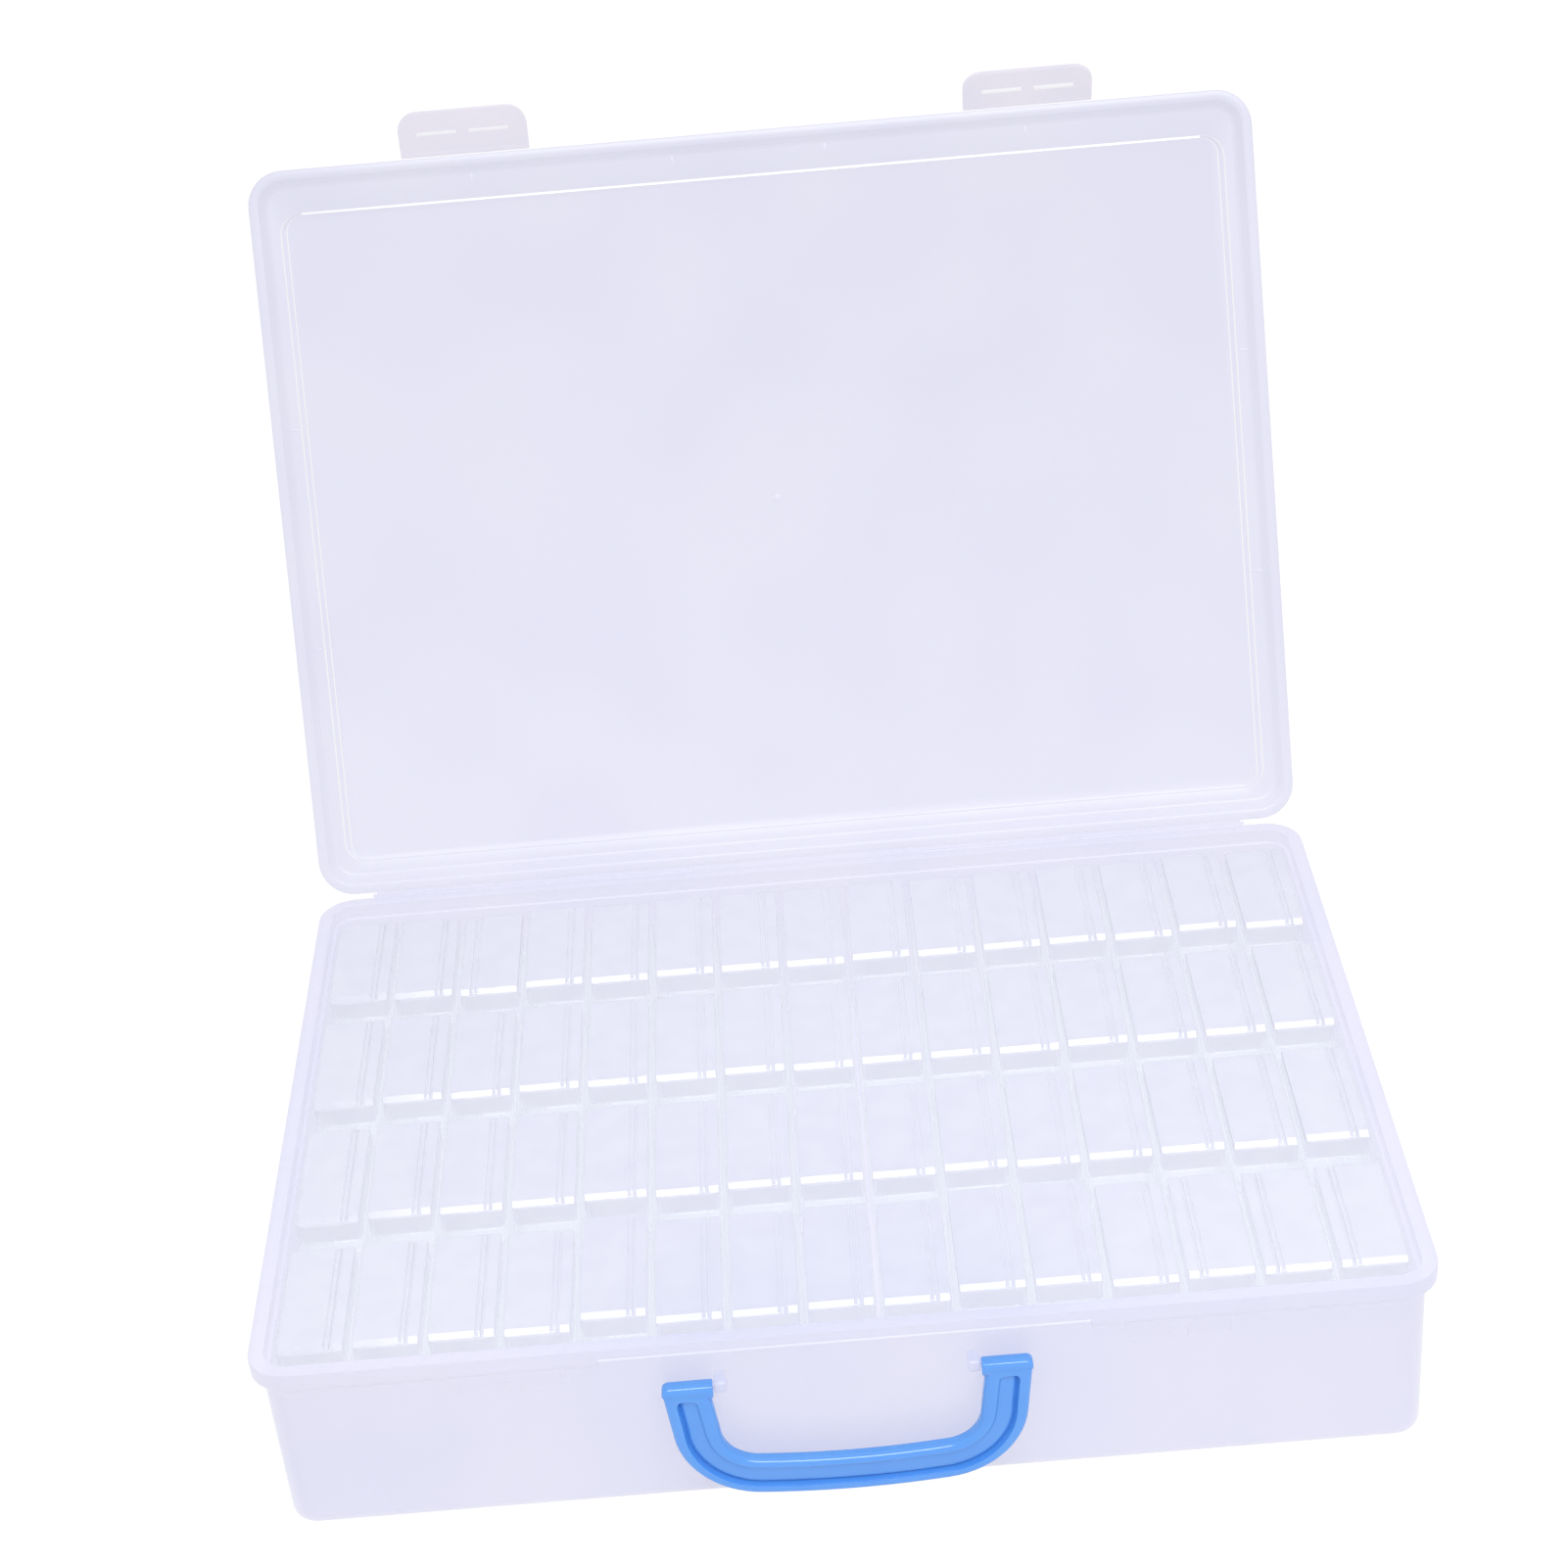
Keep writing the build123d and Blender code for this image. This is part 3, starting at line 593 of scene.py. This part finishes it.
# %% Bow outline
# An edge is given by its lowest height, its bend's radius, and two points of its leg's line. The
# stations on the leg stand closer where the channel ends.
BAR_CENTRE_Z = 296.2
OUTER_EDGE = (6.2, 26.0, (50.5, 28.0), (52.3, 44.0))
INNER_EDGE = (18.3, 11.0, (37.0, 28.0), (39.0, 44.0))
LEG_EVEN_TO = 36.0
LEG_HEIGHTS = (38.0, 40.0, 41.3, 42.4, 43.2, 43.7, 44.0, 44.2, 44.3, 45.2, 46.6)


def bow_edge(low_z, bend_r, leg_low, leg_high, bar_steps=14, bend_steps=16, leg_steps=6):
    """Half of one edge in (x, z): an arc along the bar, an arc round the bend, a line up the leg.

    The bend touches the leg's line, so its centre is bend_r inside it, at start + t * up. It touches
    the bar's arc from within, so |start + t * up| = bar_r - bend_r, which gives t.
    """
    leg_low, leg_high = np.array(leg_low), np.array(leg_high)
    bar_centre, bar_r = np.array([0, BAR_CENTRE_Z]), BAR_CENTRE_Z - low_z
    up = (leg_high - leg_low) / np.linalg.norm(leg_high - leg_low)
    start = leg_low + bend_r * np.array([-up[1], up[0]]) - bar_centre
    along = start @ up
    t = -along - math.sqrt(along ** 2 - start @ start + (bar_r - bend_r) ** 2)
    bend_centre = bar_centre + start + t * up
    first = math.atan2(bend_centre[0], BAR_CENTRE_Z - bend_centre[1])
    last = math.atan2(up[1], up[0])

    def swing(centre, radius, angle):
        return centre + radius * np.stack([np.sin(angle), -np.cos(angle)], -1)

    bar = swing(bar_centre, bar_r, np.linspace(0, first, bar_steps)[:-1])
    bend = swing(bend_centre, bend_r, np.linspace(first, last, bend_steps))
    heights = np.concatenate([np.linspace(bend[-1, 1], LEG_EVEN_TO, leg_steps)[1:], LEG_HEIGHTS])
    leg = np.stack([leg_low[0] + (heights - leg_low[1]) * up[0] / up[1], heights], -1)
    return np.concatenate([bar, bend, leg])


def both_sides(half):
    """The whole edge from its right half: mirrored in x, and joined at the middle of the bar."""
    return np.concatenate([(half * (-1, 1))[:0:-1], half])


outer_edge, inner_edge = both_sides(bow_edge(*OUTER_EDGE)), both_sides(bow_edge(*INNER_EDGE))
print("bow outline", len(outer_edge), "stations")

# %% Bow skin
FRONT_Y, BAND_THICK, OUTER_R, INNER_R, BACK_R = -129.1, 4.6, 1.2, 1.9, 1.2
RIM_BAR, RIM_LEG = (2.6, 2.3), (3.3, 4.0)
CHANNEL_TOP, CHANNEL_ROUND = 44.3, 3.0
quarter = np.radians(np.linspace(0, 90, 5))
climb = np.clip((outer_edge[:, 1] - 8) / 24, 0, 1)
width = np.linalg.norm(inner_edge - outer_edge, axis=1)
closing = np.clip((outer_edge[:, 1] - CHANNEL_TOP) / CHANNEL_ROUND + 1, 0, 1)
open_share = np.cbrt(1 - closing ** 3)
OUTER_WALL = [(-0.3, 0.0), (-0.05, 0.1), (0.1, 0.5), (0.3, 2.0), (0.55, 2.3), (0.85, 2.1), (1.4, 1.35),
              (2.0, 1.15)]
INNER_WALL = [(-0.4, 0.0), (-0.1, 0.06), (0.15, 0.35), (0.4, 0.8), (0.75, 1.0), (1.3, 1.1)]


def band_section(wide, rise, share):
    """Points (distance from the outer edge, depth) round the band, for one station of the bow."""
    rim_out, rim_in = (low + (high - low) * rise for low, high in zip(RIM_BAR, RIM_LEG))
    middle = (rim_out + wide - rim_in) / 2
    half = max((wide - rim_out - rim_in) / 2 * share, 0.3)
    ease, deep = min(half / 2.4, 1.0), min(share / 0.5, 1.0)
    front_out = [(OUTER_R * (1 - math.cos(q)), OUTER_R * (1 - math.sin(q))) for q in quarter]
    wall_out = [(middle - half + a * ease, b * deep) for a, b in OUTER_WALL]
    wall_in = [(middle + half - a * ease, b * deep) for a, b in INNER_WALL[::-1]]
    front_in = [(wide - INNER_R * (1 - math.cos(q)), INNER_R * (1 - math.sin(q))) for q in quarter[::-1]]
    back_in = [(wide - BACK_R * (1 - math.cos(q)), BAND_THICK - BACK_R * (1 - math.sin(q)))
               for q in quarter]
    back_out = [(wide - a, b) for a, b in back_in[::-1]]
    return front_out + wall_out + wall_in + front_in + back_in + back_out


sections = np.array([band_section(*station) for station in zip(width, climb, open_share)])
share_across = sections[..., :1] / width[:, None, None]
flat = outer_edge[:, None] + share_across * (inner_edge - outer_edge)[:, None]
bow_rings = np.stack([flat[..., 0], FRONT_Y + sections[..., 1], flat[..., 1]], axis=-1)
bow_parts = [skin(bow_rings)]
print("bow skin", bow_rings.shape)

# %% [markdown]
# A boss ends each leg: a short bar round the pivot's line, between round and square in section. Its
# outer end is rounded in an arc of its own, so the handle's upper corners are soft.

# %% Bosses
BOSS_Z, BOSS_R, BOSS_IN, BOSS_OUT, BOSS_CORNER = 46.7, 2.4, 38.2, 52.8, 2.0
BOSS_Y, BOSS_SQUARENESS = FRONT_Y + BOSS_R, 0.65
corner_turn = np.radians(np.linspace(0, 84, 7))
boss_profile = [(BOSS_IN, BOSS_R - 0.4), (BOSS_IN + 0.12, BOSS_R - 0.12), (BOSS_IN + 0.4, BOSS_R)]
boss_profile += [(BOSS_OUT - BOSS_CORNER * (1 - math.sin(a)), BOSS_R - BOSS_CORNER * (1 - math.cos(a)))
                 for a in corner_turn]
ring_angle = np.radians(np.arange(0, 360, 12))
across, rise = (np.sign(t) * np.abs(t) ** BOSS_SQUARENESS for t in (np.cos(ring_angle), np.sin(ring_angle)))
for side in (-1, 1):
    rings = [np.stack([np.full(len(ring_angle), side * x), BOSS_Y + (r + 2 * BOSS_R) / 3 * across,
                       BOSS_Z + r * rise], -1) for x, r in boss_profile]
    bow_parts.append(skin(rings))
handle = piece("handle_bow", bow_parts, handle_plastic, "handle", ["carry_handle"], sharp=40)
print("handle faces", len(handle.data.polygons))

# %% [markdown]
# ## Bottles
# A bottle is a slim hollow box with a narrower neck. A stack of rounded rectangles gives it: up the
# outside, over the shoulder and the neck, and down the inside to the floor. One bottle is made once
# and its points are moved to every place, because sixty of them must stay light.

# %% Where the bottles stand
# Keys are (row from the back, column from the left). Some bottles stand a little out of line, and four
# are turned half round.
COLUMNS, ROWS = 15, 4
PITCH_X, PITCH_Y, FRONT_ROW_Y = 21.77, 58.46, -90.4
PUSHED_BACK = {(4, 5): 3.6, (4, 10): 2.6, (4, 11): 2.6, (1, 14): 1.2, (1, 3): -1.2}
TURNED = {(1, 3), (4, 13), (4, 14), (4, 15)}


def stand(column, row):
    """x, y and half turn of a bottle: the CAD model's pitch and its small settling wave."""
    settle = 0.5 * (1 + math.sin(2.4 * column + 5.1 * row))
    y = FRONT_ROW_Y + (ROWS - row) * PITCH_Y + settle + PUSHED_BACK.get((row, column), 0)
    return (column - (COLUMNS + 1) / 2) * PITCH_X, y, -1 if (row, column) in TURNED else 1


def at_stands(parts, column, rows):
    """The parts at each stand: x and y times 1 or -1 for the half turn, then moved."""
    placed = []
    for row in rows:
        x, y, turn = stand(column, row)
        placed += [(verts * (turn, turn, 1) + (x, y, 0), faces) for verts, faces in parts]
    return placed


# %% One bottle
body_rings = [
    (9.3, 25.8, 1.5, 2.3), (9.95, 26.45, 1.8, 2.55), (10.2, 26.7, 2.0, 3.2), (10.2, 26.7, 2.0, 50.4),
    (9.9, 26.4, 1.9, 51.6), (9.2, 25.7, 1.6, 52.3), (8.7, 22.3, 1.4, 52.5), (8.3, 21.85, 1.2, 53.0),
    (8.3, 21.85, 1.2, 58.7), (8.1, 21.65, 1.1, 58.9), (7.4, 20.95, 0.8, 58.9), (7.2, 20.75, 0.7, 58.7),
    (7.2, 20.75, 0.7, 51.0), (9.0, 25.5, 1.2, 50.6), (9.0, 25.5, 1.2, 4.2), (8.3, 24.8, 1.0, 3.5),
]
bottle = [skin([at(corners(hx, hy, r, 2), z) for hx, hy, r, z in body_rings])]
print("one bottle:", len(bottle[0][1]), "faces")

# %% [markdown]
# The cap has a skirt, a deck with the pour opening, and the narrow strip that stays fixed. The flap
# is a plate on a thin hinge. Their front and back edges are cut at a slant with rounded corners, and
# that slant is what shines as a white bar on every bottle.

# %% Cap and flap
CAP_HALF_X, CAP_HALF_Y, DECK_Z, CAP_TOP_Z = 9.6, 23.15, 60.1, 62.0
SLANT, POUR_SHIFT = 1.75, -2.4
cap_rings = [
    (8.4, 21.95, 1.2, 0, 53.8), (8.4, 21.95, 1.2, 0, 58.9), (5.0, 17.0, 1.5, POUR_SHIFT, 58.9),
    (5.0, 17.0, 1.5, POUR_SHIFT, 59.9), (5.2, 17.2, 1.7, POUR_SHIFT, DECK_Z), (9.2, 22.75, 1.0, 0, DECK_Z),
    (9.5, 23.05, 1.2, 0, 59.95), (CAP_HALF_X, CAP_HALF_Y, 1.3, 0, 59.6),
    (CAP_HALF_X, CAP_HALF_Y, 1.3, 0, 54.1), (9.4, 22.95, 1.1, 0, 53.8),
]
cap_body = skin([at(corners(hx, hy, r, 2), z, (shift, 0)) for hx, hy, r, shift, z in cap_rings],
                loop=True)


def slanted(low, high, slant=SLANT, half_y=CAP_HALF_Y):
    """A plate's outline in (y, z), with its two upper edges slanted and eased."""
    rise = high - low
    side_points = [(0, 0), (0, rise - slant), (0.04 * slant, rise - 0.92 * slant),
                   (0.92 * slant, rise - 0.04 * slant), (slant, rise)]
    right_points = [(half_y - a, low + b) for a, b in side_points]
    return np.array(right_points + [(-y, z) for y, z in right_points[::-1]])


strip = prism(slanted(DECK_Z - 0.1, CAP_TOP_Z), 6.2, CAP_HALF_X, 0.3, across_x)
plate = prism(slanted(60.35, CAP_TOP_Z, 1.6), -CAP_HALF_X, 4.0, 0.3, across_x)
web = prism(slanted(60.4, 61.0, 0.2), 3.6, 5.0, 0.1, across_x)
rib = prism(slanted(60.4, 61.95, 1.5), 4.6, 5.5, 0.2, across_x)
cap, flap = [cap_body, strip], [plate, web, rib]
print("one cap and flap:", sum(len(faces) for _, faces in cap + flap), "faces")

# %% Sixty bottles, in columns
for column in range(1, COLUMNS + 1):
    number = f"{column:02d}"
    body = "column_" + number
    every_row = range(1, ROWS + 1)
    usual = [row for row in every_row if (row, column) not in TURNED]
    turned_rows = [row for row in every_row if (row, column) in TURNED]
    piece("bottle_bodies_" + number, at_stands(bottle, column, every_row), bottle_plastic,
          body, ["bottles_column_" + number])
    piece("bottle_tops_" + number, at_stands(cap, column, every_row), cap_plastic, body,
          ["bottle_caps_column_" + number], sharp=15)
    piece("flip_flaps_" + number, at_stands(flap, column, usual), cap_plastic,
          "flaps_" + number, ["flip_tops_column_" + number], sharp=15)
    if turned_rows:
        piece("turned_flap_" + number, at_stands(flap, column, turned_rows), cap_plastic,
              "flap_reversed_" + number, ["flip_top_reversed_" + number], sharp=15)

# %% [markdown]
# ## Floor and light
# The box stands on a plain white table. To the camera, and in reflections, the table and the room
# around it are plain white, as in a catalogue picture, while the table still takes the object's
# shadow. The light is a white room with one long soft box above the camera: it is what the slanted
# cap edges mirror.

# %% Floor
floor_material, tree = blank("white_table")
ray = node(tree, "ShaderNodeLightPath")
seen = node(tree, "ShaderNodeMath", {"operation": "MAXIMUM"},
            {0: ray.outputs["Is Camera Ray"], 1: ray.outputs["Is Glossy Ray"]})
share = node(tree, "ShaderNodeMath", {"operation": "MULTIPLY"}, {0: seen.outputs[0], 1: 0.9})
paint = node(tree, "ShaderNodeBsdfDiffuse", None, {"Color": linear("#F4F4F6")})
white = node(tree, "ShaderNodeEmission", None, {"Color": WHITE, "Strength": 1.05})
table_mix = node(tree, "ShaderNodeMixShader", None,
                 {0: share.outputs[0], 1: paint.outputs["BSDF"], 2: white.outputs["Emission"]})
node(tree, "ShaderNodeOutputMaterial", None, {"Surface": table_mix.outputs["Shader"]})
TABLE_HALF, TABLE_Z = 6.0, -0.0003
table_corners = [(sx * TABLE_HALF, sy * TABLE_HALF, TABLE_Z)
                 for sx, sy in ((-1, -1), (1, -1), (1, 1), (-1, 1))]
floor_mesh = bpy.data.meshes.new("table_top")
floor_mesh.from_pydata(table_corners, [], [(0, 1, 2, 3)])
floor_mesh.materials.append(floor_material)
floor = bpy.data.objects.new("table_top", floor_mesh)
bpy.context.scene.collection.objects.link(floor)

# %% Room
ROOM_LEVEL = 0.82
world = bpy.data.worlds.new("white_room")
bpy.context.scene.world = world
world.use_nodes = True
tree = world.node_tree
tree.nodes.clear()
ray = node(tree, "ShaderNodeLightPath")
seen = node(tree, "ShaderNodeMath", {"operation": "MAXIMUM"},
            {0: ray.outputs["Is Camera Ray"], 1: ray.outputs["Is Glossy Ray"]})
level = node(tree, "ShaderNodeMapRange", None,
             {"Value": seen.outputs[0], "To Min": ROOM_LEVEL, "To Max": 1.0})
room = node(tree, "ShaderNodeBackground", None, {"Color": WHITE, "Strength": level.outputs["Result"]})
node(tree, "ShaderNodeOutputWorld", None, {"Surface": room.outputs["Background"]})

# %% Soft box
# The camera looks down at 34 to 40 degrees on the rows, and the slant faces up at 45, so it mirrors
# what stands 50 to 56 degrees high in front: the box is there, above the camera. It hangs a little to
# the right, so the two leftmost columns hardly catch it.
BOX_WIDE, BOX_DEEP, BOX_AT, BOX_TILT, BOX_WATTS = 1.0, 0.4, (0.18, -0.80, 1.12), 37.0, 7.6
lamp = bpy.data.lights.new("soft_box", "AREA")
lamp.shape = "RECTANGLE"
lamp.size, lamp.size_y, lamp.energy = BOX_WIDE, BOX_DEEP, BOX_WATTS
soft_box = bpy.data.objects.new("soft_box", lamp)
soft_box.location = BOX_AT
soft_box.rotation_euler = (math.radians(BOX_TILT), 0, 0)
bpy.context.scene.collection.objects.link(soft_box)

# %% [markdown]
# Many thin walls lie behind one another here, so a ray may pass through more of them than usual
# before it stops. The view transform is Standard, which leaves colours as they are written.

# %% Ray depth and colour
scene = bpy.context.scene
scene.cycles.transparent_max_bounces = 64
scene.cycles.max_bounces = 8
scene.cycles.diffuse_bounces = 3
scene.view_settings.view_transform = "Standard"
